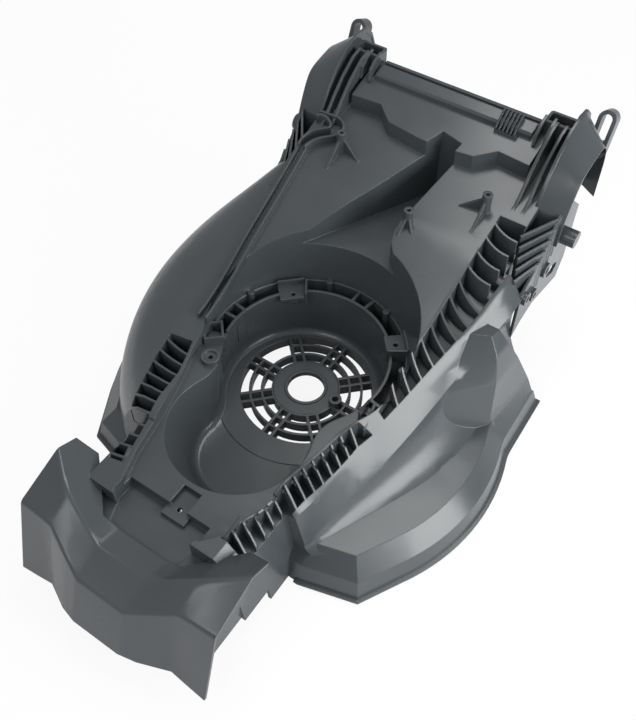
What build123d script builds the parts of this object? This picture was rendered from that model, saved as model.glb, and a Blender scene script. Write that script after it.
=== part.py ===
from build123d import *
from math import cos, degrees, hypot, radians, sin, sqrt, tan
import os

os.makedirs("parts", exist_ok=True)

# All sizes in millimetres. The origin is the middle of the spindle hole, level with the floor
# of the scoop, X to the right, Y to the rear and Z up. The hood is at the front, at -Y.

# Moulding: wall, height above every surface that open cuts run up to, and how far a cut runs
# past the face it opens
WALL = 3.0
SKY = 300.0
OVERRUN = 1.0

# Blade skirt
SKIRT_BOTTOM_Z = -42.0
SKIRT_CREASE_Z = -18.0
SKIRT_RIDGE_Z = 0.0
SKIRT_RADIUS = 209.0
SKIRT_ARC_FRONT_Y = -96.0
SKIRT_ARC_REAR_Y = 69.0
SKIRT_REAR = (195.0, 148.0)
SKIRT_FRONT = (158.0, -146.0)
SKIRT_THROAT = (103.0, -161.0)
SKIRT_BLEND_RADIUS = 60.0
SKIRT_WALL_ANGLE = 14.0
SKIRT_SHOULDER_ANGLE = 43.0
FLANGE_OUT = 2.5
FLANGE_HEIGHT = 3.0
FLANGE_OVERLAP = 2.5
FLANGE_BREAK = (198.0, 12.0)

# Sloping top of the grass tunnel: a plane that climbs to the rear, flat in front
TOP_Z = 86.0
TOP_SLOPE = 0.32
FRONT_TOP_Z = 66.0
FRONT_FLAT_Y = -62.5

# Cross-sections of the body from front to rear. Right side: edge of the top, top and foot
# of the side band, ridge. Left side: edge of the top, two points on the round flank, foot.
STATIONS = [
    (-146.0, (72.0, 66.0), (91.0, 46.0), (101.0, 6.0), (106.0, -6.0),
     (-84.0, 66.0), (-98.0, 52.0), (-108.0, 30.0), (-112.0, -6.0)),
    (-110.0, (76.0, 66.0), (96.0, 46.0), (108.0, 14.0), (144.0, -4.0),
     (-92.0, 66.0), (-124.0, 52.0), (-144.0, 30.0), (-150.0, -6.0)),
    (-60.0, (86.0, 67.0), (101.0, 49.0), (119.0, 28.0), (170.0, -4.0),
     (-100.0, 67.0), (-146.0, 60.0), (-171.0, 42.0), (-177.0, -6.0)),
    (0.0, (97.0, 86.0), (114.0, 66.0), (130.0, 46.0), (180.0, -4.0),
     (-104.0, 86.0), (-156.0, 80.0), (-183.0, 62.0), (-187.0, -6.0)),
    (60.0, (97.0, 105.2), (125.0, 85.0), (138.0, 64.0), (174.0, -4.0),
     (-108.0, 105.2), (-150.0, 98.0), (-178.0, 80.0), (-182.0, -6.0)),
    (100.0, (97.0, 118.0), (131.0, 98.0), (145.0, 78.0), (172.0, -4.0),
     (-111.0, 118.0), (-144.0, 110.0), (-166.0, 94.0), (-174.0, -6.0)),
    (150.0, (97.0, 134.0), (135.0, 114.0), (150.0, 92.0), (172.0, -4.0),
     (-114.0, 134.0), (-134.0, 127.0), (-144.0, 112.0), (-168.0, -6.0)),
]
PANEL_SAG = 14.0
PANEL_SAG_SHARE = 0.2

# Bottom of the saddle and of the tunnel, out of sight inside the skirt
BODY_BOTTOM_Z = -28.0

# Buttress at the rear of the blade skirt: plans at rising heights
SHOULDER = [
    (-18.0, [(140.0, 20.0), (184.0, 62.0), (188.0, 141.0), (140.0, 141.0)]),
    (0.0, [(140.0, 20.0), (174.0, 66.0), (181.0, 139.0), (140.0, 139.0)]),
    (50.0, [(130.0, 34.0), (168.0, 76.0), (170.0, 118.0), (130.0, 118.0)]),
    (76.0, [(130.0, 62.0), (160.0, 85.0), (162.0, 106.0), (130.0, 106.0)]),
    (91.0, [(130.0, 84.0), (148.0, 92.0), (150.0, 104.0), (130.0, 104.0)]),
]

# Rear of the grass tunnel
TUNNEL_HALF_WIDTH = 127.0
TUNNEL_FRONT_Y = 118.0
TUNNEL_REAR_Y = 272.0
TUNNEL_FLOOR_Y = 160.0
MOUTH_FLOOR_Z = 96.0
PLATFORM_Z = 102.5
PLATFORM_REAR_Y = 280.0
PLATFORM_DEPTH = 10.0
PLATFORM_FRONT = [(101.0, 231.0), (67.0, 233.0), (48.0, 218.0), (8.0, 214.0)]

# Nose under the hood
NOSE_REAR_Y = -128.0
NOSE_FRONT_Y = -222.0
NOSE_STEP_Y = -188.0
NOSE_BOTTOM_Z = -26.0
NOSE_SIDES = [(-89.0, -42.0), (-86.0, 38.0), (-74.0, 64.0), (64.0, 64.0), (80.0, 46.0), (92.0, -42.0)]
CHIN_HALF_WIDTH = 86.0
CHIN_FRONT_Y = -262.0
CHIN_TOP_Z = 45.0
CHIN_BOTTOM_Z = -24.0
CHIN_OVERLAP = 15.0
CHEEK_SIDE = [(-225.0, -24.0), (-225.0, 44.0), (-262.0, 44.0), (-276.0, 40.0), (-285.0, 14.0),
              (-291.0, -24.0)]

# Hood plate: distance from the middle plane, then rear edge, crest, front crease and lip
HOOD = [
    (105.0, (-201.0, 71.0), (-221.0, 80.0), (-271.0, 61.0), (-297.0, -20.0)),
    (84.0, (-198.0, 60.0), (-237.0, 78.0), (-272.0, 61.0), (-296.0, -17.0)),
    (69.0, (-212.0, 57.0), (-246.0, 75.0), (-273.0, 60.0), (-295.0, -15.0)),
    (42.0, (-239.0, 54.0), (-257.0, 60.0), (-285.0, 50.0), (-307.0, -8.0)),
    (25.0, (-239.0, 47.0), (-263.0, 53.0), (-292.0, 43.0), (-311.0, -6.0)),
]
HOOD_CREASE_RADIUS = 7.0

# Motor bay, slot and well
BAY_FLOOR_Z = 57.0
BAY_TOP_Z = 118.0
BAY_FLOOR_RADIUS = 98.0
BAY_TOP_RADIUS = 112.5
BAY_TOP_CENTRE_Y = 2.0
BAY_RISE = 20.0
WELL_LEVELS = [(0.0, 83.0, -9.0, 52.0, -98.0), (58.0, 81.0, 0.0, 69.0, -105.0)]
WAIST_RADIUS = 40.0
WELL_FILLET = 10.0
MOTOR_FLOOR_RADIUS = 84.0
MOTOR_FLOOR_CENTRE = (0.0, -9.0)
MOTOR_FLOOR_RISE = 1.0
SLOT_INNER_RADIUS = 84.0
SLOT_INNER_WALLS = 3
SLOT_OUTER_RADIUS = 97.0
SLOT_FLOOR_Z = 24.0
SLOT_START = -12.0
SLOT_END = 196.0

# Shelf and front recess
SHELF_Z = 55.0
SHELF = [(-94.0, -22.0), (-88.0, -62.0), (-78.0, -92.0), (-66.0, -135.0), (-57.0, -178.0),
         (-50.0, -199.0), (-44.0, -216.0), (44.0, -216.0), (58.0, -199.0), (67.0, -163.0),
         (72.0, -116.0), (80.0, -66.0), (90.0, -40.0), (96.0, -12.0)]
RECESS = [(-47.0, -198.0), (-47.0, -216.0), (-37.0, -241.0), (34.0, -241.0), (41.0, -216.0),
          (41.0, -198.0)]
RECESS_Z = 44.5

# Trench beside the motor bay
TRENCH = [(11.0, 90.0), (38.0, 98.0), (30.0, 106.0), (21.0, 116.0), (17.0, 128.0), (18.0, 150.0),
          (31.0, 226.0), (7.0, 231.0), (-64.0, 84.0)]
TRENCH_FLOOR_Z = 100.0

# Vent channels with fins
RIGHT_CHANNEL_FRONT = [(56.0, -203.0), (80.0, -203.0), (88.0, -146.0), (92.5, -110.0), (98.0, -60.0),
                       (103.0, -42.0), (90.0, -46.0), (83.0, -66.0), (74.0, -116.0), (69.0, -163.0)]
RIGHT_CHANNEL_REAR = [(99.0, -26.0), (105.0, -26.0), (110.5, 0.0), (121.0, 60.0), (127.5, 100.0),
                      (131.5, 150.0), (126.0, 186.0), (99.0, 186.0)]
LEFT_CHANNEL = [(-93.0, -56.0), (-117.0, -60.0), (-114.0, -88.0), (-100.0, -130.0), (-83.0, -171.0),
                (-71.0, -197.0), (-58.0, -194.0), (-69.0, -151.0), (-77.0, -122.0), (-82.0, -91.0)]
CHANNEL_DEPTH = 26.0
CHANNEL_FRONT_Y = -260.0
CHANNEL_REAR_Y = 260.0

# Fins across the channels: count, pitch, then start, middle and end of the first one
FIN_THICKNESS = 2.2
FIN_SETS = [(12, 16.4, (95.0, 180.0), (110.0, 171.0), (134.0, 169.0)),
            (13, 12.2, (50.0, -44.0), (80.0, -52.0), (104.0, -62.0)),
            (11, 12.4, (-122.0, -64.0), (-95.0, -70.0), (-52.0, -62.0))]
WINDOW_SIZE = (12.0, 5.0)
WINDOW_BOTTOM_Z = 56.0
WINDOW_HEIGHT = 5.0
WINDOW_LINE = [(86.0, -62.0), (78.0, -98.0), (73.0, -130.0), (69.5, -166.0), (62.0, -196.0)]

# Grille in the motor floor: three rings of openings crossed by eight double spokes
GRILLE_DEPTH = 10.0
GRILLE_RINGS = [(35.0, 43.5), (46.0, 55.5), (58.0, 67.0)]
GRILLE_ROWS = 4
GRILLE_BLOCK_RADIUS = 71.0
GRILLE_BLOCK_INNER = 31.0
GRILLE_WIDE_GAP = [(0.0, 0.0), (-90.0, 90.0), (-90.0, 0.0)]
SPOKE_GAP = 7.0
SPOKE_THICKNESS = 3.0
SPINDLE_RADIUS = 18.7
BOSS_RADIUS = 33.0
BOSS_HEIGHT = 1.6
COLLAR_RADIUS = 21.5
COLLAR_HEIGHT = 3.0
FLOOR_POST = (35.0, 1.0)
FLOOR_POST_RADIUS = 6.5
FLOOR_POST_HOLE = 3.3
FLOOR_POST_HEIGHT = 8.0

# Screw tabs round the motor well: angle, radius, radial and tangential size, place of the hole
SCREW_HOLE = 2.3
TAB_THICKNESS = 4.0
TAB_BLOCK = 9.0
TAB_RIM_UP = 7.0
TABS = [(134.0, 82.5, 20.0, 28.0, 78.5), (41.0, 88.5, 20.0, 25.0, 88.5)]
SIDE_BOSS = (-72.0, -56.0)
SIDE_BOSS_RADIUS = 9.5
SIDE_BOSS_WALL = 3.0
SIDE_BOSS_TOP = 60.0
SIDE_BOSS_DEPTH = 38.0
SIDE_BOSS_SEAT = 2.0
FRONT_TAB = (6.0, -191.0)
FRONT_TAB_SIZE = (19.0, 27.0)
FRONT_TAB_Z = 49.0
FRONT_TAB_HOLE = (6.0, -197.0)
SLOT_BARS = [-8.0, -17.0, 79.0, 90.0, 172.0, 181.0]
SLOT_BAR_WIDTH = 3.5
SLOT_POSTS = [20.0, 66.5, 109.5, 160.5]
SLOT_POST_PLACE = 95.0
SLOT_POST_RADIUS = 3.6
BOX_CENTRE = (-88.0, -31.0)
BOX_SIZE = (20.0, 22.0)
BOX_ANGLE = 42.0
BOX_WALL = 2.4
BOX_TOP = 64.0
BOX_BOTTOM = 43.0

# Upright webs by the grille and at the front of the right channel: ends, bottom, end heights
WEB_THICKNESS = 2.4
WEBS = [((82.0, -14.0), (87.0, -40.0), 50.0, 60.0, 76.0),
        ((93.0, -24.0), (96.0, -46.0), 46.0, 74.0, 62.0),
        ((58.0, -205.0), (61.0, -181.0), 50.0, 58.0, 70.0),
        ((-58.0, -203.0), (-62.0, -180.0), 50.0, 58.0, 68.0)]

# Screw posts on the plateau: place, top, ends of the two gussets
POST_RADIUS = 5.0
POST_HOLE = 2.0
POSTS = [((83.0, 185.0), 165.0, (83.0, 157.0), (58.0, 179.0)),
         ((-83.0, 185.0), 165.0, (-83.0, 157.0), (-58.0, 179.0)),
         ((24.0, 141.0), 148.0, (22.0, 122.0), (36.0, 130.0))]

# Cable rail on the left of the plateau and the hooked walls it ends in
RAIL = [(-98.0, -34.0), (-98.0, -14.0), (-106.0, 57.0), (-112.0, 117.0), (-118.0, 166.0)]
RAIL_GAP = 7.0
RAIL_RIB = 2.2
RAIL_HEIGHT = 6.0
HOOKS = [[(-122.0, 164.0), (-121.0, 178.0), (-114.0, 187.0), (-104.0, 196.0), (-110.0, 202.0),
          (-125.0, 201.0)],
         [(-114.5, 164.0), (-111.0, 173.0), (-104.0, 181.0), (-93.0, 189.0), (-90.0, 199.0),
          (-98.0, 207.0), (-112.0, 208.0), (-125.0, 208.0)]]
HOOK_HEIGHT = 9.0

# Bar across the back where the grass box hooks on, with a rack of teeth on the right
BAR_HALF_WIDTH = 88.0
BAR_SIDE = [(256.0, 181.0), (256.0, 189.5), (258.0, 191.5), (270.0, 195.5), (270.0, 191.5),
            (274.5, 192.5), (274.5, 195.0), (278.0, 195.5), (279.0, 186.0)]
RACK = (52.0, 76.0, 250.0, 262.0)
RACK_HEIGHT = 4.5
RACK_TEETH = 6
RACK_TOOTH = 2.0
RACK_TOOTH_SIDE = [(250.0, 181.0), (269.0, 187.0), (269.0, 200.0), (263.0, 200.0), (250.0, 188.0)]

# Wheel arch covers: side views at the inner and at the outer edge
COVER_INNER_X = 124.0
COVER_OUTER_X = 154.0
COVER_MIDDLE = (262.0, 118.0)
COVER_INNER_SIDE = [(206.0, 118.0), (208.0, 146.0), (211.0, 160.0), (222.0, 178.0), (238.0, 195.0),
                    (256.0, 207.0), (276.0, 213.0), (292.0, 211.0), (304.0, 200.0),
                    (312.0, 180.0), (314.0, 150.0), (314.0, 118.0)]
COVER_OUTER_SIDE = [(206.0, 118.0), (209.0, 142.0), (214.0, 154.0), (222.0, 170.0), (233.0, 184.0),
                    (248.0, 189.0), (262.0, 191.5), (275.0, 191.5), (285.0, 185.0),
                    (292.0, 172.0), (295.0, 150.0), (296.0, 118.0)]
COVER_RIM_RISE = 2.6
COVER_RIM_IN = 1.0
COVER_RIM_OUT = 2.0
COVER_RIBS = [105.0, 115.0]
COVER_RIB_THICKNESS = 3.0
COVER_RIB_SIDE = [(192.0, 145.5), (206.0, 158.0), (220.0, 174.0), (236.0, 189.0), (256.0, 202.0),
                  (270.0, 205.0), (276.0, 196.0), (276.0, 172.0)]
CORNER_BOX = (93.0, 124.0, 268.0, 287.0)
CORNER_BOX_Z = (166.0, 203.0)
CORNER_FORK = [(250.0, 184.0), (253.0, 196.0), (262.0, 203.0), (273.0, 206.0), (273.0, 186.0)]
CORNER_FORK_X = [92.0, 102.0]

# Side of the tunnel: outer plate with its bosses, and louvre slats up to the plateau edge
SIDE_PLATE_X = 147.0
SIDE_PLATE = [(147.0, 96.0), (147.0, 37.0), (165.0, 46.0), (190.0, 51.0), (213.0, 45.0),
              (252.0, 35.0), (262.0, 58.0), (262.0, 130.0), (240.0, 150.0), (210.0, 152.0),
              (178.0, 117.0)]
SIDE_BOSSES = [(156.0, 88.0, 7.0, 3.5), (176.0, 76.0, 7.0, 3.5), (198.0, 92.0, 8.0, 4.0)]
SIDE_BOSS_OUT = 4.0
AXLE_SLOT = (228.0, 66.0, 26.0, 13.0)
AXLE_SLOT_ANGLE = -20.0
SIDE_LUMP = (224.0, 120.0)
SIDE_LUMP_RADIUS = 9.0
SIDE_LUMP_X = 167.0
SLATS = 5
SLAT_FIRST = ((126.0, 176.0, 141.0), (150.0, 211.0, 151.0))
SLAT_LAST = ((139.0, 147.0, 112.0), (150.0, 178.0, 119.0))
SLAT_BOTTOM = 40.0

# Handle lugs: a rounded loop on each rear corner
LUG_X = 142.0
LUG_WIDTH = 18.0
LUG_FOOT = (300.0, 170.0)
LUG_TIP = (316.0, 206.0)
LUG_THICKNESS = 15.0
LUG_WALL = 4.0
LUG_HOLE_START = 8.0


def top_z(y, sheet=TOP_Z):
    """Height of the sloping top, or of a plane parallel to it, at a distance to the rear."""
    return sheet + TOP_SLOPE * y


def polygon_prism(points, low, high):
    """Upright prism over a plan polygon."""
    with BuildSketch(Plane.XY.offset(low)) as plan:
        with BuildLine():
            Polyline(*points, close=True)
        make_face()
    extrude(plan.sketch, amount=high - low)


def side_prism(points, left, right, mode=Mode.ADD):
    """Prism across the deck over a polygon of (y, z) points."""
    with BuildSketch(Plane.YZ.offset(left)) as profile:
        with BuildLine():
            Polyline(*points, close=True)
        make_face()
    extrude(profile.sketch, amount=right - left, mode=mode)


def skirt_outline(inset):
    """Plan of the blade skirt at its bottom edge: two arcs about the spindle and flat ends."""
    radius = SKIRT_RADIUS
    front_x = sqrt(radius**2 - SKIRT_ARC_FRONT_Y**2)
    rear_x = sqrt(radius**2 - SKIRT_ARC_REAR_Y**2)
    with BuildSketch(Plane.XY.offset(SKIRT_BOTTOM_Z)) as outline:
        with BuildLine():
            Line(SKIRT_REAR, (-SKIRT_REAR[0], SKIRT_REAR[1]))
            Line((-SKIRT_REAR[0], SKIRT_REAR[1]), (-rear_x, SKIRT_ARC_REAR_Y))
            ThreePointArc((-rear_x, SKIRT_ARC_REAR_Y), (-radius, 0), (-front_x, SKIRT_ARC_FRONT_Y))
            Line((-front_x, SKIRT_ARC_FRONT_Y), (-SKIRT_FRONT[0], SKIRT_FRONT[1]))
            Line((-SKIRT_FRONT[0], SKIRT_FRONT[1]), (-SKIRT_THROAT[0], SKIRT_THROAT[1]))
            Line((-SKIRT_THROAT[0], SKIRT_THROAT[1]), SKIRT_THROAT)
            Line(SKIRT_THROAT, SKIRT_FRONT)
            Line(SKIRT_FRONT, (front_x, SKIRT_ARC_FRONT_Y))
            ThreePointArc((front_x, SKIRT_ARC_FRONT_Y), (radius, 0), (rear_x, SKIRT_ARC_REAR_Y))
            Line((rear_x, SKIRT_ARC_REAR_Y), SKIRT_REAR)
        make_face()
        hollow = outline.vertices().filter_by(lambda v: abs(v.Y - SKIRT_ARC_REAR_Y) < WALL)
        fillet(hollow, radius=SKIRT_BLEND_RADIUS)
        if inset:
            offset(amount=-inset, kind=Kind.INTERSECTION, mode=Mode.REPLACE)
    return outline.sketch


def skirt(inset):
    """Steep lower wall and flatter shoulder of the blade skirt."""
    wall_height = SKIRT_CREASE_Z - SKIRT_BOTTOM_Z
    extrude(skirt_outline(inset), amount=wall_height, taper=SKIRT_WALL_ANGLE)
    crease = skirt_outline(inset + wall_height * tan(radians(SKIRT_WALL_ANGLE)))
    shoulder_height = SKIRT_RIDGE_Z - SKIRT_CREASE_Z - inset
    extrude(crease.moved(Location((0, 0, wall_height))), amount=shoulder_height,
            taper=SKIRT_SHOULDER_ANGLE)


def saddle(inset):
    """Body above the skirt, lofted through its cross-sections from front to rear."""
    ends = (STATIONS[0][0], STATIONS[-1][0])
    sections = []
    for station in STATIONS:
        y = station[0]
        y += inset if y == ends[0] else -inset if y == ends[1] else 0
        right = [(x - inset, z - inset) for x, z in station[1:5]]
        left = [(x + inset, z - inset) for x, z in station[5:9]]
        foot, ridge = right[2], right[3]
        middle = ((foot[0] + ridge[0]) / 2, (foot[1] + ridge[1]) / 2)
        run, drop = ridge[0] - foot[0], foot[1] - ridge[1]
        length = hypot(run, drop)
        sag = min(PANEL_SAG, length * PANEL_SAG_SHARE)
        scoop = (middle[0] - sag * drop / length, middle[1] - sag * run / length)
        low = BODY_BOTTOM_Z - inset
        with BuildSketch(Plane.XZ.offset(-y)) as section:
            with BuildLine():
                Line(left[0], right[0])
                Line(right[0], right[1])
                Line(right[1], right[2])
                ThreePointArc(right[2], scoop, right[3])
                Line(right[3], (right[3][0], low))
                Line((right[3][0], low), (left[3][0], low))
                Line((left[3][0], low), left[3])
                Spline(left[3], left[2], left[1], left[0])
            make_face()
        sections.append(section.sketch)
    loft(sections)


def tunnel(inset):
    """Rear of the grass tunnel, from the blade skirt up to the mouth at the back."""
    half = TUNNEL_HALF_WIDTH - inset
    rear = TUNNEL_REAR_Y
    front = TUNNEL_FRONT_Y
    side_prism([(front, BODY_BOTTOM_Z), (TUNNEL_FLOOR_Y - inset, BODY_BOTTOM_Z),
                (rear, MOUTH_FLOOR_Z + inset), (rear, top_z(rear) - inset),
                (front, top_z(front) - inset)], -half, half)


def platform(inset):
    """Raised platform behind the plateau, with its stepped front edge."""
    front = [(x - inset, y + inset) for x, y in PLATFORM_FRONT]
    plan = [(-x, y) for x, y in front] + [(x, y) for x, y in reversed(front)]
    wide, rear = front[0][0], PLATFORM_REAR_Y - inset
    near, far = front[-1][1], PLATFORM_REAR_Y
    foot = TOP_Z - PLATFORM_DEPTH - inset
    with BuildPart(mode=Mode.PRIVATE) as raised:
        polygon_prism([(-wide, rear)] + plan + [(wide, rear)], 0, SKY)
        side_prism([(near, top_z(near, foot)), (far, top_z(far, foot)),
                    (far, top_z(far, PLATFORM_Z) - inset), (near, top_z(near, PLATFORM_Z) - inset)],
                   -wide, wide, mode=Mode.INTERSECT)
    add(raised.part)


def nose(inset):
    """Front of the body under the fins, and the chin box below the hood."""
    profile = [(x + inset if x < 0 else x - inset, z - inset if z > 0 else z) for x, z in NOSE_SIDES]
    low = NOSE_BOTTOM_Z - inset
    tip = NOSE_FRONT_Y + inset
    with BuildPart(mode=Mode.PRIVATE) as block:
        with BuildSketch(Plane.XZ.offset(-NOSE_REAR_Y)) as section:
            with BuildLine():
                Polyline(*profile, close=True)
            make_face()
        extrude(section.sketch, amount=NOSE_REAR_Y - tip)
        side_prism([(NOSE_REAR_Y, SKIRT_BOTTOM_Z), (NOSE_REAR_Y, SKY), (tip, SKY), (tip, low),
                    (NOSE_STEP_Y, low), (NOSE_STEP_Y, SKIRT_BOTTOM_Z)],
                   -SKIRT_RADIUS, SKIRT_RADIUS, mode=Mode.INTERSECT)
    add(block.part)
    half = CHIN_HALF_WIDTH - inset
    back, top = NOSE_FRONT_Y + CHIN_OVERLAP, CHIN_TOP_Z - inset
    low = CHIN_BOTTOM_Z - inset
    side_prism([(back, low), (back, top), (CHIN_FRONT_Y + inset, top), (CHIN_FRONT_Y + inset, low)],
               -half, half)


def shoulder(inset):
    """Buttress that carries the ridge of the blade skirt up to the plateau on each side."""
    for side in (-1, 1):
        levels = []
        for z, plan in SHOULDER:
            points = [(side * x, y) for x, y in plan]
            outline = grown_plan(points if side > 0 else list(reversed(points)), -inset)
            levels.append(outline.moved(Location((0, 0, z - inset))))
        loft(levels, ruled=True)


def bulk(inset):
    """Whole body without its recesses, drawn in by the wall for the hollow inside."""
    skirt(inset)
    saddle(inset)
    tunnel(inset)
    platform(inset)
    nose(inset)
    shoulder(inset)
    cover(inset)


def waisted_outline(rear_radius, rear_y, front_radius, front_y, grow):
    """Plan of two circles on the middle plane joined by a hollow curve on each side."""
    rear_radius += grow
    front_radius += grow
    waist = WAIST_RADIUS - grow
    to_rear, to_front = rear_radius + waist, front_radius + waist
    apart = rear_y - front_y
    back = (apart**2 + to_rear**2 - to_front**2) / (2 * apart)
    centre = (sqrt(to_rear**2 - back**2), rear_y - back)
    rear = (centre[0] * rear_radius / to_rear,
            rear_y + (centre[1] - rear_y) * rear_radius / to_rear)
    front = (centre[0] * front_radius / to_front,
             front_y + (centre[1] - front_y) * front_radius / to_front)
    middle = (centre[0] - waist, centre[1])
    with BuildSketch() as outline:
        with BuildLine():
            ThreePointArc(rear, (0, rear_y + rear_radius), (-rear[0], rear[1]))
            ThreePointArc((-rear[0], rear[1]), (-middle[0], middle[1]), (-front[0], front[1]))
            ThreePointArc((-front[0], front[1]), (0, front_y - front_radius), front)
            ThreePointArc(front, middle, rear)
        make_face()
    return outline.sketch


def well(grow):
    """Motor well with the scoop in front of it, open at the top."""
    levels = []
    for z, *outline in WELL_LEVELS:
        plan = waisted_outline(*outline, grow)
        levels.append(plan.moved(Location((0, 0, z - (grow if z < BAY_FLOOR_Z else 0)))))
    with BuildPart(mode=Mode.PRIVATE) as bowl:
        loft(levels)
        fillet(bowl.edges().group_by(Axis.Z)[0], radius=WELL_FILLET + grow)
    add(bowl.part)


def bay(grow):
    """Motor bay: a round drafted opening in the sloping top."""
    with BuildSketch(Plane.XY.offset(BAY_FLOOR_Z - grow)) as low:
        Circle(BAY_FLOOR_RADIUS + grow)
    with BuildSketch(Plane.XY.offset(BAY_TOP_Z + BAY_RISE)) as high:
        with Locations((0, BAY_TOP_CENTRE_Y)):
            Circle(BAY_TOP_RADIUS + grow)
    loft([low.sketch, high.sketch])


def slot(grow):
    """Air slot round the motor well; grown, it reaches well inside the wall between the two."""
    with BuildSketch(Plane.XY.offset(SLOT_FLOOR_Z - grow)) as ring:
        with BuildLine():
            inner, outer = SLOT_INNER_RADIUS - SLOT_INNER_WALLS * grow, SLOT_OUTER_RADIUS + grow
            span = SLOT_END - SLOT_START
            CenterArc((0, 0), outer, SLOT_START, span)
            CenterArc((0, 0), inner, SLOT_START, span)
            for angle in (SLOT_START, SLOT_END):
                along = (cos(radians(angle)), sin(radians(angle)))
                Line((inner * along[0], inner * along[1]), (outer * along[0], outer * along[1]))
        make_face()
    extrude(ring.sketch, amount=BAY_FLOOR_Z + OVERRUN - SLOT_FLOOR_Z + grow)


def grown_plan(points, grow):
    """Face over a plan polygon, grown outward or drawn in."""
    with BuildSketch() as plan:
        with BuildLine():
            Polyline(*points, close=True)
        make_face()
        if grow:
            offset(amount=grow, kind=Kind.INTERSECTION, mode=Mode.REPLACE)
    return plan.sketch


def pocket(points, floor, grow):
    """Upright recess over a plan polygon, open at the top."""
    plan = grown_plan(points, grow)
    extrude(plan.moved(Location((0, 0, floor - grow))), amount=SKY - floor)


def channels(grow):
    """Vent channels whose floors run below the sloping top and level with the flat front."""
    level = [(CHANNEL_FRONT_Y, FRONT_TOP_Z), (FRONT_FLAT_Y, FRONT_TOP_Z),
             (CHANNEL_REAR_Y, top_z(CHANNEL_REAR_Y))]
    with BuildPart(mode=Mode.PRIVATE) as cut:
        for points in (RIGHT_CHANNEL_FRONT, RIGHT_CHANNEL_REAR, LEFT_CHANNEL):
            extrude(grown_plan(points, grow), amount=SKY)
        side_prism([(y, z - CHANNEL_DEPTH - grow) for y, z in level]
                   + [(CHANNEL_REAR_Y, SKY), (CHANNEL_FRONT_Y, SKY)],
                   -SKIRT_RADIUS, SKIRT_RADIUS, mode=Mode.INTERSECT)
    add(cut.part)


def recesses(grow):
    """Everything sunk into the body from above, grown by the wall for the hollow inside."""
    bay(grow)
    well(grow)
    slot(grow)
    pocket(SHELF, SHELF_Z, grow)
    pocket(RECESS, RECESS_Z, grow)
    pocket(TRENCH, TRENCH_FLOOR_Z, grow)
    channels(grow)


def hood():
    """Hood plate across the front, softly creased along its crest and along its front."""
    stations = [(-x, *points) for x, *points in HOOD] + [(x, *points) for x, *points in reversed(HOOD)]
    sections = []
    for x, *points in stations:
        inner = []
        for i, (y, z) in enumerate(points):
            before, after = points[max(i - 1, 0)], points[min(i + 1, len(points) - 1)]
            along = (after[0] - before[0], after[1] - before[1])
            length = hypot(*along)
            inner.append((y - along[1] / length * WALL, z + along[0] / length * WALL))
        with BuildSketch(Plane.YZ.offset(x)) as section:
            with BuildLine():
                outside = FilletPolyline(*points, radius=HOOD_CREASE_RADIUS)
                inside = FilletPolyline(*reversed(inner), radius=HOOD_CREASE_RADIUS)
                Line(outside @ 1, inside @ 0)
                Line(inside @ 1, outside @ 0)
            make_face()
        sections.append(section.sketch)
    loft(sections, ruled=True)


def cheeks():
    """Side plates that carry the chin box forward to the hood plate."""
    for x in (-CHIN_HALF_WIDTH, CHIN_HALF_WIDTH - WALL):
        side_prism(CHEEK_SIDE, x, x + WALL)


def flange():
    """Small outward lip round the bottom edge of the skirt."""
    with BuildSketch(Plane.XY.offset(SKIRT_BOTTOM_Z)) as lip:
        add(skirt_outline(0))
        offset(amount=FLANGE_OUT, kind=Kind.INTERSECTION, mode=Mode.REPLACE)
        add(skirt_outline(FLANGE_OVERLAP), mode=Mode.SUBTRACT)
        with Locations((0, SKIRT_THROAT[1])):
            Rectangle(*FLANGE_BREAK, mode=Mode.SUBTRACT)
    extrude(lip.sketch, amount=FLANGE_HEIGHT)


def disc(centre, radius, low, high):
    """Upright round post, or the hole in one."""
    with BuildSketch(Plane.XY.offset(low)) as circle:
        with Locations(centre):
            Circle(radius)
    extrude(circle.sketch, amount=high - low)


def polar(radius, angle):
    """Plan place at a radius and an angle round the spindle."""
    return (radius * cos(radians(angle)), radius * sin(radians(angle)))


def turned_block(angle, radius, radial, tangential, low, high):
    """Upright block at a polar place round the spindle."""
    with BuildSketch(Plane.XY.offset(low)) as base:
        with PolarLocations(radius, 1, start_angle=angle):
            Rectangle(radial, tangential)
    extrude(base.sketch, amount=high - low)


def upright_plate(start, end, thickness, bottom, start_top, end_top):
    """Upright plate along a plan line whose top runs from one height to another."""
    run = (end[0] - start[0], end[1] - start[1])
    length = hypot(*run)
    side = Plane(origin=(start[0], start[1], 0), x_dir=(run[0], run[1], 0),
                 z_dir=(run[1], -run[0], 0))
    with BuildSketch(side.offset(-thickness / 2)) as profile:
        with BuildLine():
            Polyline((0, bottom), (length, bottom), (length, end_top), (0, start_top), close=True)
        make_face()
    extrude(profile.sketch, amount=thickness)


def motor_floor():
    """Raised floor disc, grille block, spindle boss and post at the bottom of the motor well."""
    disc(MOTOR_FLOOR_CENTRE, MOTOR_FLOOR_RADIUS, -WALL / 2, MOTOR_FLOOR_RISE)
    with BuildSketch(Plane.XY.offset(-GRILLE_DEPTH)) as block:
        Circle(GRILLE_BLOCK_RADIUS)
        Circle(GRILLE_BLOCK_INNER, mode=Mode.SUBTRACT)
    extrude(block.sketch, amount=GRILLE_DEPTH - WALL / 2)
    disc((0, 0), BOSS_RADIUS, -WALL / 2, BOSS_HEIGHT)
    disc((0, 0), COLLAR_RADIUS, -WALL / 2, COLLAR_HEIGHT)
    disc(FLOOR_POST, FLOOR_POST_RADIUS, -WALL / 2, FLOOR_POST_HEIGHT)


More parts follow.
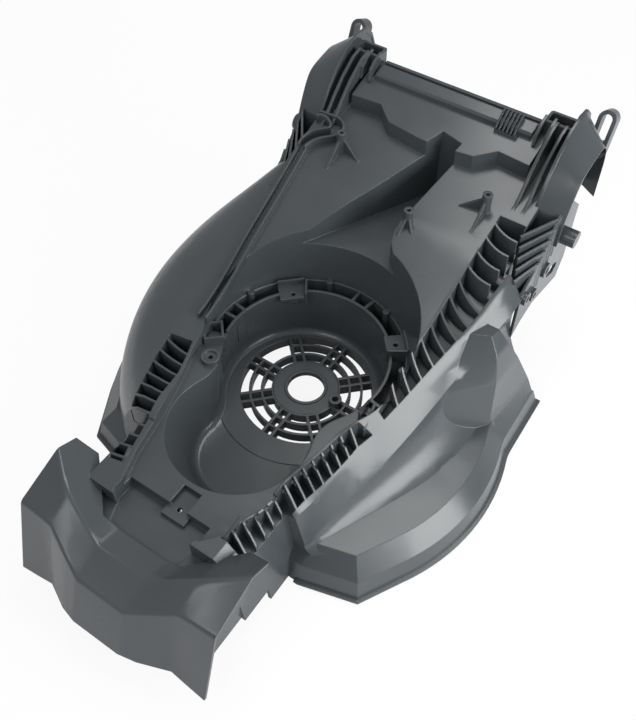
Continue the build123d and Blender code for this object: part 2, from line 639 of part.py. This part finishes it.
def motor_mounts():
    """Tabs, boss, cable box and bars round the motor well."""
    middle, width = (SLOT_INNER_RADIUS + SLOT_OUTER_RADIUS) / 2, SLOT_OUTER_RADIUS - SLOT_INNER_RADIUS
    for angle in SLOT_BARS:
        turned_block(angle, middle, width + 2 * WALL, SLOT_BAR_WIDTH, SLOT_FLOOR_Z - WALL / 2,
                     BAY_FLOOR_Z)
    for angle in SLOT_POSTS:
        disc(polar(SLOT_POST_PLACE, angle), SLOT_POST_RADIUS, SLOT_FLOOR_Z - WALL / 2,
             BAY_FLOOR_Z + SLOT_POST_RADIUS)
    low, high = BAY_FLOOR_Z - TAB_BLOCK, BAY_FLOOR_Z + TAB_RIM_UP
    for angle, radius, radial, tangential, hole in TABS:
        turned_block(angle, radius, radial, tangential, BAY_FLOOR_Z - TAB_THICKNESS, BAY_FLOOR_Z)
        turned_block(angle, radius + radial / 2, WEB_THICKNESS, tangential, low, high)
        edge = degrees(tangential / 2 / radius)
        turned_block(angle - edge, radius, radial, WEB_THICKNESS, low, high)
        turned_block(angle, hole, TAB_BLOCK, TAB_BLOCK, low, BAY_FLOOR_Z)
    disc(SIDE_BOSS, SIDE_BOSS_RADIUS, SIDE_BOSS_TOP - SIDE_BOSS_DEPTH, SIDE_BOSS_TOP)
    with BuildSketch(Plane.XY.offset(FRONT_TAB_Z - TAB_THICKNESS)) as plate:
        with Locations(FRONT_TAB):
            Rectangle(FRONT_TAB_SIZE[0] + 2 * WALL, FRONT_TAB_SIZE[1] + 2 * WALL)
    extrude(plate.sketch, amount=TAB_THICKNESS)
    with BuildSketch(Plane.XY.offset(BOX_BOTTOM)) as box:
        with Locations(Location(BOX_CENTRE, BOX_ANGLE)):
            Rectangle(*BOX_SIZE)
            Rectangle(BOX_SIZE[0] - 2 * BOX_WALL, BOX_SIZE[1] - 2 * BOX_WALL, mode=Mode.SUBTRACT)
    extrude(box.sketch, amount=BOX_TOP - BOX_BOTTOM)
    for web in WEBS:
        upright_plate(web[0], web[1], WEB_THICKNESS, *web[2:])


def posts():
    """Screw posts on the plateau, each with two gussets."""
    for place, top, *feet in POSTS:
        surface = top_z(place[1])
        disc(place, POST_RADIUS, surface - WALL, top)
        for foot in feet:
            foot_z = top_z(foot[1])
            upright_plate(place, foot, WEB_THICKNESS, min(surface, foot_z) - WALL / 2,
                          top - WALL, foot_z)


def raised_walls():
    """Two thin ribs that hold a cable along the plateau, and the hooked walls at their end."""
    shift = (RAIL_GAP + RAIL_RIB) / 2
    with BuildPart(mode=Mode.PRIVATE) as ribs:
        with BuildSketch() as plan:
            for step in (-shift, shift):
                with BuildLine():
                    Spline(*[(x + step, y) for x, y in RAIL])
                trace(line_width=RAIL_RIB)
        extrude(plan.sketch, amount=SKY)
        front, rear = RAIL[0][1], RAIL[-1][1]
        side_prism([(front, top_z(front) - WALL), (rear, top_z(rear) - WALL),
                    (rear, top_z(rear) + RAIL_HEIGHT), (front, top_z(front) + RAIL_HEIGHT)],
                   -SKIRT_RADIUS, 0, mode=Mode.INTERSECT)
    with BuildPart(mode=Mode.PRIVATE) as hooks:
        with BuildSketch() as plan:
            for path in HOOKS:
                with BuildLine():
                    Spline(*path)
                trace(line_width=RAIL_RIB)
        extrude(plan.sketch, amount=SKY)
        front, rear = RAIL[-1][1] - RAIL_GAP, TUNNEL_REAR_Y
        side_prism([(front, top_z(front) - WALL), (rear, top_z(rear) - WALL),
                    (rear, top_z(rear) + HOOK_HEIGHT), (front, top_z(front) + HOOK_HEIGHT)],
                   -SKIRT_RADIUS, 0, mode=Mode.INTERSECT)
    add(ribs.part)
    add(hooks.part)


def rear_bar():
    """Grass box bar across the back, with a short rack of teeth on the right."""
    side_prism(BAR_SIDE, -BAR_HALF_WIDTH, BAR_HALF_WIDTH)
    left, right, front, back = RACK
    base = top_z(front, PLATFORM_Z)
    with BuildSketch(Plane.XY.offset(base - WALL / 2)) as block:
        with Locations(((left + right) / 2, (front + back) / 2)):
            Rectangle(right - left, back - front)
    extrude(block.sketch, amount=RACK_HEIGHT)
    step = (right - left) / RACK_TEETH
    for tooth in range(RACK_TEETH):
        x = left + step * tooth
        side_prism(RACK_TOOTH_SIDE, x, x + RACK_TOOTH)


def cover(inset):
    """Both wheel arch covers, open below and on the outer side when drawn in."""
    for side in (-1, 1):
        sections = []
        for x, points in ((COVER_INNER_X + inset, COVER_INNER_SIDE),
                          (COVER_OUTER_X + inset, COVER_OUTER_SIDE)):
            drawn = []
            for y, z in points:
                reach = hypot(y - COVER_MIDDLE[0], z - COVER_MIDDLE[1])
                keep = 1 - inset / reach
                drawn.append((COVER_MIDDLE[0] + (y - COVER_MIDDLE[0]) * keep,
                              COVER_MIDDLE[1] + (z - COVER_MIDDLE[1]) * keep))
            low = COVER_MIDDLE[1] - inset
            with BuildSketch(Plane.YZ.offset(side * x)) as section:
                with BuildLine():
                    Spline(*drawn[1:-1])
                    Polyline(drawn[-2], (drawn[-1][0], low), (drawn[0][0], low), drawn[1])
                make_face()
            sections.append(section.sketch)
        loft(sections, ruled=True)


def across(side, near, far):
    """Left and right limits of a piece that lies between two distances from the middle."""
    return (near, far) if side > 0 else (-far, -near)


def rear_corner(side):
    """Ribs beside the wheel arch cover, its raised rim and the corner box."""
    for x in COVER_RIBS:
        side_prism(COVER_RIB_SIDE, *across(side, x, x + COVER_RIB_THICKNESS))
    inner = [(y, z + COVER_RIM_RISE) for y, z in COVER_INNER_SIDE[1:-2]]
    outer = [(y, z - WALL) for y, z in COVER_INNER_SIDE[1:-2]]
    rim = across(side, COVER_INNER_X - COVER_RIM_IN, COVER_INNER_X + COVER_RIM_OUT)
    side_prism(outer + list(reversed(inner)), *rim)
    for x in CORNER_FORK_X:
        side_prism(CORNER_FORK, *across(side, x, x + COVER_RIB_THICKNESS))
    near, far, front, back = CORNER_BOX
    low, high = CORNER_BOX_Z
    with BuildSketch(Plane.XY.offset(low)) as box:
        with Locations((side * (near + far) / 2, (front + back) / 2)):
            RectangleRounded(far - near, back - front, WALL)
            RectangleRounded(far - near - 2 * WALL, back - front - 2 * WALL, WALL / 2,
                             mode=Mode.SUBTRACT)
    extrude(box.sketch, amount=high - low)


def tunnel_side(side):
    """Outer plate beside the tunnel with its bosses, and the louvre slats that carry it."""
    with BuildSketch(Plane.YZ.offset(side * SIDE_PLATE_X)) as plate:
        with BuildLine():
            Polyline(*SIDE_PLATE, close=True)
        make_face()
        with Locations(AXLE_SLOT[:2]):
            SlotOverall(*AXLE_SLOT[2:], rotation=AXLE_SLOT_ANGLE, mode=Mode.SUBTRACT)
        for y, z, radius, hole in SIDE_BOSSES:
            with Locations((y, z)):
                Circle(hole, mode=Mode.SUBTRACT)
    extrude(plate.sketch, amount=side * WALL)
    with BuildSketch(Plane.YZ.offset(side * SIDE_PLATE_X)) as bosses:
        for y, z, radius, hole in SIDE_BOSSES:
            with Locations((y, z)):
                Circle(radius)
                Circle(hole, mode=Mode.SUBTRACT)
    extrude(bosses.sketch, amount=side * (WALL + SIDE_BOSS_OUT))
    with BuildSketch(Plane.YZ.offset(side * SIDE_PLATE_X)) as lump:
        with Locations(SIDE_LUMP):
            Circle(SIDE_LUMP_RADIUS)
    extrude(lump.sketch, amount=side * (SIDE_LUMP_X - SIDE_PLATE_X))
    with BuildPart(mode=Mode.PRIVATE) as slats:
        for step in range(SLATS):
            share = step / (SLATS - 1)
            start, end = [[a + (b - a) * share for a, b in zip(first, last)]
                          for first, last in zip(SLAT_FIRST, SLAT_LAST)]
            upright_plate((side * start[0], start[1]), (side * end[0], end[1]), WEB_THICKNESS,
                          min(start[2], end[2]) - SLAT_BOTTOM, start[2], end[2])
        add(inner_body.part, mode=Mode.SUBTRACT)
    add(slats.part)


def lug(side):
    """Handle lug: a hollow loop that leans to the rear."""
    lean = (LUG_TIP[0] - LUG_FOOT[0], LUG_TIP[1] - LUG_FOOT[1])
    length = hypot(*lean)
    face = Plane(origin=(side * LUG_X, *LUG_FOOT), x_dir=(1, 0, 0), z_dir=(0, -lean[1], lean[0]))
    hole = length - LUG_HOLE_START - LUG_WALL
    with BuildSketch(face.offset(-LUG_THICKNESS / 2)) as loop:
        with Locations((0, (length - LUG_WIDTH / 2) / 2)):
            SlotOverall(length + LUG_WIDTH / 2, LUG_WIDTH, rotation=90)
        with Locations((0, LUG_HOLE_START + hole / 2)):
            SlotOverall(hole, LUG_WIDTH - 2 * LUG_WALL, rotation=90, mode=Mode.SUBTRACT)
    extrude(loop.sketch, amount=LUG_THICKNESS)


def grille_openings():
    """Rings of openings between the spokes, the wide gap on the left and the spindle hole."""
    spokes = SPOKE_GAP + 2 * SPOKE_THICKNESS
    with BuildSketch(Plane.XY.offset(-GRILLE_DEPTH - WALL)) as rings:
        for bar_width, bars_mode in ((spokes, Mode.SUBTRACT), (SPOKE_GAP, Mode.INTERSECT)):
            with BuildSketch(mode=Mode.PRIVATE) as part:
                for inner, outer in GRILLE_RINGS:
                    with BuildSketch(mode=Mode.PRIVATE) as ring:
                        Circle(outer)
                        Circle(inner, mode=Mode.SUBTRACT)
                    add(ring.sketch)
                with BuildSketch(mode=Mode.PRIVATE) as bars:
                    for row in range(GRILLE_ROWS):
                        Rectangle(3 * GRILLE_BLOCK_RADIUS, bar_width,
                                  rotation=row * 180 / GRILLE_ROWS)
                add(bars.sketch, mode=bars_mode)
            add(part.sketch)
        with BuildSketch(mode=Mode.PRIVATE) as wide:
            Circle(GRILLE_RINGS[-1][1])
            Circle(GRILLE_RINGS[1][0], mode=Mode.SUBTRACT)
            add(grown_plan(GRILLE_WIDE_GAP, -spokes / 2), mode=Mode.INTERSECT)
        add(wide.sketch)
        with Locations(FLOOR_POST):
            Circle(FLOOR_POST_RADIUS, mode=Mode.SUBTRACT)
        Circle(SPINDLE_RADIUS)
    extrude(rings.sketch, amount=GRILLE_DEPTH + 2 * WALL + BOSS_HEIGHT)


def screw_holes():
    """Holes of the tabs, bosses and posts, and the seat of the front tab."""
    for angle, *size, hole in TABS:
        disc(polar(hole, angle), SCREW_HOLE, BAY_FLOOR_Z - 2 * TAB_BLOCK, BAY_FLOOR_Z + OVERRUN)
    disc(SIDE_BOSS, SIDE_BOSS_RADIUS - SIDE_BOSS_WALL, SIDE_BOSS_TOP - SIDE_BOSS_SEAT, SKY)
    disc(SIDE_BOSS, SCREW_HOLE, SIDE_BOSS_TOP - SIDE_BOSS_DEPTH / 2, SKY)
    disc(FRONT_TAB_HOLE, SCREW_HOLE, FRONT_TAB_Z - 2 * TAB_BLOCK, FRONT_TAB_Z + OVERRUN)
    with BuildSketch(Plane.XY.offset(FRONT_TAB_Z)) as seat:
        with Locations(FRONT_TAB):
            Rectangle(*FRONT_TAB_SIZE)
    extrude(seat.sketch, amount=SKY)
    disc(FLOOR_POST, FLOOR_POST_HOLE, MOTOR_FLOOR_RISE, SKY)
    for place, top, *feet in POSTS:
        disc(place, POST_HOLE, top_z(place[1]), SKY)


def windows():
    """Row of small windows between the front fins and the shelf."""
    with BuildSketch(Plane.XY.offset(WINDOW_BOTTOM_Z)) as row:
        with BuildLine(mode=Mode.PRIVATE) as line:
            Spline(*WINDOW_LINE)
        count = FIN_SETS[1][0] - 1
        for i in range(count):
            with Locations(line.line @ ((i + 0.5) / count)):
                Rectangle(*WINDOW_SIZE)
    extrude(row.sketch, amount=WINDOW_HEIGHT)


def made(piece, *side):
    """One detail built on its own, ready to be joined to the deck."""
    with BuildPart() as detail:
        piece(*side)
    return detail.part


with BuildPart() as outer_body:
    bulk(0)

with BuildPart() as inner_body:
    bulk(WALL)

with BuildPart() as outer_recess:
    recesses(0)

with BuildPart() as cavity:
    add(inner_body.part)
    with BuildPart(mode=Mode.PRIVATE) as grown_recess:
        recesses(WALL)
    add(grown_recess.part, mode=Mode.SUBTRACT)

with BuildPart() as fins:
    with BuildSketch() as blades:
        for count, pitch, *points in FIN_SETS:
            for fin in range(count):
                with BuildLine():
                    ThreePointArc(*[(x, y - pitch * fin) for x, y in points])
                trace(line_width=FIN_THICKNESS)
    extrude(blades.sketch, amount=SKY)
    with BuildPart(mode=Mode.PRIVATE) as room:
        channels(WALL / 2)
    add(room.part, mode=Mode.INTERSECT)
    add(outer_body.part, mode=Mode.INTERSECT)

fittings = [made(piece) for piece in (hood, cheeks, flange, motor_floor, motor_mounts, posts,
                                      raised_walls, rear_bar)]
fittings += [made(piece, side) for piece in (rear_corner, tunnel_side, lug) for side in (-1, 1)]
openings = [made(piece) for piece in (grille_openings, screw_holes, windows)]

with BuildPart() as mower_deck:
    add(outer_body.part)
    add(outer_recess.part, mode=Mode.SUBTRACT)
    add(cavity.part, mode=Mode.SUBTRACT)
    add([fins.part, *fittings], clean=False)
    add(openings, mode=Mode.SUBTRACT)
mower_deck.part.label = "mower_deck"
export_step(mower_deck.part, "parts/mower_deck.step")
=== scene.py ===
# %% [markdown]
# # A bare lawn mower deck
#
# The object is the deck of an electric rotary mower as it comes out of the mould: one dark grey
# plastic shell with a round blade skirt, a motor well with a vent grille, rows of fins, a front
# hood and a tunnel that climbs to the grass box. The CAD file gives every wall and rib in its
# real place. Blender adds what the eye reads as moulded plastic: soft edges, a satin skin with a
# fine grain, and light that runs along the long curves.

# %% Load the frame
import math

import bmesh
import bpy
from mathutils import Matrix, Vector


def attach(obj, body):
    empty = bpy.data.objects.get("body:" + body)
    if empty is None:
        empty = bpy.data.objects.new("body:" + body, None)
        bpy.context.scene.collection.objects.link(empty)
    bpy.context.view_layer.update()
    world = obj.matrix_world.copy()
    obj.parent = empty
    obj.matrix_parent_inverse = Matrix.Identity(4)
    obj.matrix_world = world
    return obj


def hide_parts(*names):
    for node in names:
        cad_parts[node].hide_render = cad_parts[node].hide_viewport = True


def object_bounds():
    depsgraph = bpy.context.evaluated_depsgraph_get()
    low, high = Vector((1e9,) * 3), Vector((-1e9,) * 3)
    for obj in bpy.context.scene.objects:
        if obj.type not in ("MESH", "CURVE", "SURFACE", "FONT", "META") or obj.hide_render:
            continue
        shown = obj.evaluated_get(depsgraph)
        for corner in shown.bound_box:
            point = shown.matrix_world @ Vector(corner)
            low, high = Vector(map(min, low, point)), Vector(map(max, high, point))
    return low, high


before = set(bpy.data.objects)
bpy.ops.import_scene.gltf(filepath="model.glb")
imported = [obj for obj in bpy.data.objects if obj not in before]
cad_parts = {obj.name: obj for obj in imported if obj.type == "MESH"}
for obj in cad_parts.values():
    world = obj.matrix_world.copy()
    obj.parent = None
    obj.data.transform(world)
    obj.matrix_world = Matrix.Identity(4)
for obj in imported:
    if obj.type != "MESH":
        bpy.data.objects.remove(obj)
cad_low, cad_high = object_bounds()
print("CAD box", [round(v, 4) for v in cad_low], [round(v, 4) for v in cad_high])

MM = 0.001

# %% [markdown]
# ## Colours and nodes
#
# Colours are written as a paint chart or a colour picker shows them, in sRGB. Cycles mixes light
# in linear values, so one function turns the first into the second. A second small function adds
# a node with its settings and its links, which keeps each material readable from top to bottom.

# %% Colour and node helpers
def linear(hex_colour):
    """Linear RGBA of an sRGB colour written as six hex digits."""
    channels = [int(hex_colour[i:i + 2], 16) / 255 for i in (1, 3, 5)]
    return [c / 12.92 if c <= 0.04045 else ((c + 0.055) / 1.055) ** 2.4 for c in channels] + [1]


def add_node(tree, kind, settings=None, inputs=None):
    """A new node with its settings, and with values or links in its inputs."""
    node = tree.nodes.new(kind)
    for name, value in (settings or {}).items():
        setattr(node, name, value)
    for name, value in (inputs or {}).items():
        if isinstance(value, bpy.types.NodeSocket):
            tree.links.new(value, node.inputs[name])
        else:
            node.inputs[name].default_value = value
    return node


def new_material(name):
    """An empty material: its tree and its shader are still to be made."""
    material = bpy.data.materials.new(name)
    material.use_nodes = True
    material.node_tree.nodes.clear()
    return material, material.node_tree


print("middle grey in linear light", round(linear("#808080")[0], 3))

# %% [markdown]
# ## Moulded polypropylene
#
# Mower decks are moulded in polypropylene filled with a little mineral, coloured through in dark
# grey. The mould is lightly blasted, so the skin is satin: it shows broad soft highlights and no
# sharp mirror image. Three things make it read as plastic. The roughness and the tone wander a
# little over a hand's width, as the melt cools unevenly. A grain of about a millimetre, drawn
# coarser than the real blasting so that it shows, breaks the highlight. And every edge has the
# small radius that a mould needs, which a Bevel node gives to the shading without touching the
# CAD shape.

# %% Plastic
PLASTIC_COLOUR = "#44494C"
PLASTIC_IOR = 1.49
ROUGHNESS_LOW, ROUGHNESS_HIGH = 0.18, 0.28
TONE_LOW, TONE_HIGH = 0.94, 1.06
FLOW_SIZE = 90 * MM
FLOW_LOW, FLOW_HIGH = 0.3, 0.7
GRAIN_SIZE = 1.2 * MM
GRAIN_DEPTH = 0.2 * MM
GRAIN_STRENGTH = 0.06
EDGE_RADIUS = 1.3 * MM
EDGE_SAMPLES = 6


def moulded_polypropylene():
    """Dark grey satin plastic, coloured through."""
    material, tree = new_material("moulded grey polypropylene")
    place = add_node(tree, "ShaderNodeTexCoord").outputs["Object"]
    flow = add_node(tree, "ShaderNodeTexNoise", inputs={
        "Vector": place, "Scale": 1 / FLOW_SIZE, "Detail": 3.0, "Roughness": 0.55})
    wander = {"Value": flow.outputs["Fac"], "From Min": FLOW_LOW, "From Max": FLOW_HIGH}
    roughness = add_node(tree, "ShaderNodeMapRange", inputs={
        **wander, "To Min": ROUGHNESS_LOW, "To Max": ROUGHNESS_HIGH})
    tone = add_node(tree, "ShaderNodeMapRange", inputs={
        **wander, "To Min": TONE_LOW, "To Max": TONE_HIGH})
    colour = add_node(tree, "ShaderNodeHueSaturation", inputs={
        "Color": linear(PLASTIC_COLOUR), "Value": tone.outputs["Result"]})
    grain = add_node(tree, "ShaderNodeTexNoise", inputs={
        "Vector": place, "Scale": 1 / GRAIN_SIZE, "Detail": 2.0, "Roughness": 0.6})
    soft_edge = add_node(tree, "ShaderNodeBevel", {"samples": EDGE_SAMPLES},
                         {"Radius": EDGE_RADIUS})
    bump = add_node(tree, "ShaderNodeBump", inputs={
        "Height": grain.outputs["Fac"], "Strength": GRAIN_STRENGTH, "Distance": GRAIN_DEPTH,
        "Normal": soft_edge.outputs["Normal"]})
    shader = add_node(tree, "ShaderNodeBsdfPrincipled", inputs={
        "Base Color": colour.outputs["Color"], "Roughness": roughness.outputs["Result"],
        "IOR": PLASTIC_IOR, "Normal": bump.outputs["Normal"]})
    output = add_node(tree, "ShaderNodeOutputMaterial")
    tree.links.new(shader.outputs["BSDF"], output.inputs["Surface"])
    return material


plastic = moulded_polypropylene()
print("plastic", plastic.name, len(plastic.node_tree.nodes), "nodes")

# %% [markdown]
# ## The moulding
#
# A CAD mesh comes as loose flat triangles, so a curved wall shows its facets. The real skin is
# smooth between its creases. A copy of the node is merged into one closed skin, shaded smooth,
# and kept sharp only where two faces meet at more than a mould's blend would hide. Large faces
# count for more than slivers in the shading, which keeps thin streaks off the walls. The copy
# stands for the node, and its shape is exactly the CAD shape.

# %% Moulding skin
CREASE_ANGLE = math.radians(26)
MERGE_DISTANCE = 0.002 * MM


def smooth_skin(node_name):
    """Merged and smooth-shaded copy of a CAD node."""
    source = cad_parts[node_name]
    skin = bmesh.new()
    skin.from_mesh(source.data)
    bmesh.ops.remove_doubles(skin, verts=skin.verts, dist=MERGE_DISTANCE)
    mesh = bpy.data.meshes.new(node_name + "_skin")
    skin.to_mesh(mesh)
    skin.free()
    loose_normals = mesh.attributes.get("custom_normal")
    if loose_normals:
        mesh.attributes.remove(loose_normals)
    mesh.shade_smooth()
    mesh.set_sharp_from_angle(angle=CREASE_ANGLE)
    mesh.materials.clear()
    mesh.materials.append(plastic)
    piece = bpy.data.objects.new(node_name + "_skin", mesh)
    bpy.context.scene.collection.objects.link(piece)
    even = piece.modifiers.new("even normals", "WEIGHTED_NORMAL")
    even.keep_sharp = True
    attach(piece, "root")
    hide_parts(node_name)
    return piece


deck = smooth_skin("mower_deck")
print("deck skin", len(deck.data.vertices), "vertices", len(deck.data.polygons), "faces")

# %% [markdown]
# ## Floor and backdrop
#
# The photograph is a catalogue shot on white: the ground is blown out and only a breath of
# shadow is left beside the deck. The floor is white, and towards the camera it mostly shines
# with its own colour, so it stays white in the openings of the grille too, while the rest of
# the light still makes a faint shadow on it. A sheet of paper needs no more than one square.

# %% Floor
FLOOR_HALF = 3.0
FLOOR_GAP = 0.3 * MM
FLOOR_COLOUR = "#F7F7F9"
FLOOR_OWN_WHITE = 0.90


def white_paper():
    """White studio paper that looks evenly white to the camera."""
    material, tree = new_material("white studio paper")
    matt = add_node(tree, "ShaderNodeBsdfDiffuse", inputs={"Color": linear(FLOOR_COLOUR)})
    white = add_node(tree, "ShaderNodeEmission", inputs={"Color": linear("#FFFFFF"),
                                                         "Strength": 1.0})
    path = add_node(tree, "ShaderNodeLightPath")
    share = add_node(tree, "ShaderNodeMath", {"operation": "MULTIPLY"})
    tree.links.new(path.outputs["Is Camera Ray"], share.inputs[0])
    share.inputs[1].default_value = FLOOR_OWN_WHITE
    mix = add_node(tree, "ShaderNodeMixShader")
    tree.links.new(share.outputs["Value"], mix.inputs["Fac"])
    tree.links.new(matt.outputs["BSDF"], mix.inputs[1])
    tree.links.new(white.outputs["Emission"], mix.inputs[2])
    output = add_node(tree, "ShaderNodeOutputMaterial")
    tree.links.new(mix.outputs["Shader"], output.inputs["Surface"])
    return material


sheet = bmesh.new()
bmesh.ops.create_grid(sheet, x_segments=1, y_segments=1, size=FLOOR_HALF)
bmesh.ops.translate(sheet, verts=sheet.verts, vec=(0, 0, cad_low[2] - FLOOR_GAP))
floor_mesh = bpy.data.meshes.new("floor")
sheet.to_mesh(floor_mesh)
sheet.free()
floor_mesh.materials.append(white_paper())
floor = bpy.data.objects.new("floor", floor_mesh)
bpy.context.scene.collection.objects.link(floor)
print("floor at", round(cad_low[2] - FLOOR_GAP, 5), "m")

# %% [markdown]
# ## Sky
#
# A studio's walls and ceiling throw light back from every side, which fills the hollows of the
# deck. A plain white world does that without a room to build. It is full white to the camera,
# so that the edge of the floor hardly shows, but it lights the deck with half of that white, so
# that the lamps can still model the form.

# %% Sky
SKY_LIGHT = 0.50

world = bpy.data.worlds.new("studio")
bpy.context.scene.world = world
world.use_nodes = True
sky = world.node_tree.nodes["Background"]
sky.inputs["Color"].default_value = linear("#FFFFFF")
camera_ray = add_node(world.node_tree, "ShaderNodeLightPath").outputs["Is Camera Ray"]
strength = add_node(world.node_tree, "ShaderNodeMapRange", inputs={
    "Value": camera_ray, "To Min": SKY_LIGHT, "To Max": 1.0})
world.node_tree.links.new(strength.outputs["Result"], sky.inputs["Strength"])
print("sky lights the deck with", SKY_LIGHT, "of its white")

# %% [markdown]
# ## Studio light
#
# The highlights in the photograph are broad and soft and lie on the upper faces and on the
# right of the skirt, so the lamps are large panels: one high behind the deck, one low on the
# right for the sheen on the dome, and a weak one in front that opens the hood.

# %% Lights
# Each panel has a name, its azimuth and elevation in degrees as seen from the deck, its
# distance and side in metres, and its power in watts.
TARGET = Vector((0, 0, 40 * MM))
PANELS = [
    ("rear panel", 96, 70, 1.6, 0.68, 7.5),
    ("right panel", 2, 18, 1.3, 0.72, 14.5),
    ("front panel", -94, 42, 1.4, 0.50, 2.5),
]

for name, azimuth, elevation, distance, size, power in PANELS:
    turn, rise = math.radians(azimuth), math.radians(elevation)
    away = Vector((math.cos(turn) * math.cos(rise), math.sin(turn) * math.cos(rise), math.sin(rise)))
    lamp = bpy.data.lights.new(name, "AREA")
    lamp.shape = "SQUARE"
    lamp.size = size
    lamp.energy = power
    holder = bpy.data.objects.new(name, lamp)
    holder.location = TARGET + away * distance
    holder.rotation_euler = away.to_track_quat("Z", "Y").to_euler()
    bpy.context.scene.collection.objects.link(holder)
print(len(PANELS), "light panels")

# %% [markdown]
# ## Camera
#
# The photograph looks down on the deck from the front right. Its view was found from points on
# both sides of the deck that mirror each other, which fixes the direction, the distance and the
# focal length together. The camera is level, so three directions give its whole rotation.

# %% Camera
AZIMUTH = math.radians(34.4)
ELEVATION = math.radians(51.6)
CAMERA_PLACE = Vector((313.2, -435.7, 723.2)) * MM
PHOTO_WIDTH, PHOTO_HEIGHT = 636, 720
FOCAL_PIXELS = 885
SENSOR = 36.0
NEAREST_SEEN = 10 * MM

right = Vector((math.cos(AZIMUTH), math.sin(AZIMUTH), 0))
back = Vector((math.sin(AZIMUTH) * math.cos(ELEVATION),
               -math.cos(AZIMUTH) * math.cos(ELEVATION), math.sin(ELEVATION)))
up = back.cross(right)
camera_data = bpy.data.cameras.new("camera")
camera_data.sensor_width = SENSOR
camera_data.sensor_fit = "AUTO"
camera_data.lens = FOCAL_PIXELS / max(PHOTO_WIDTH, PHOTO_HEIGHT) * SENSOR
camera_data.clip_start = NEAREST_SEEN
camera = bpy.data.objects.new("camera", camera_data)
camera.matrix_world = (Matrix.Translation(CAMERA_PLACE)
                       @ Matrix((right, up, back)).transposed().to_4x4())
bpy.context.scene.collection.objects.link(camera)
bpy.context.scene.camera = camera
bpy.context.scene.view_settings.view_transform = "Standard"
print("lens", round(camera_data.lens, 2), "mm")
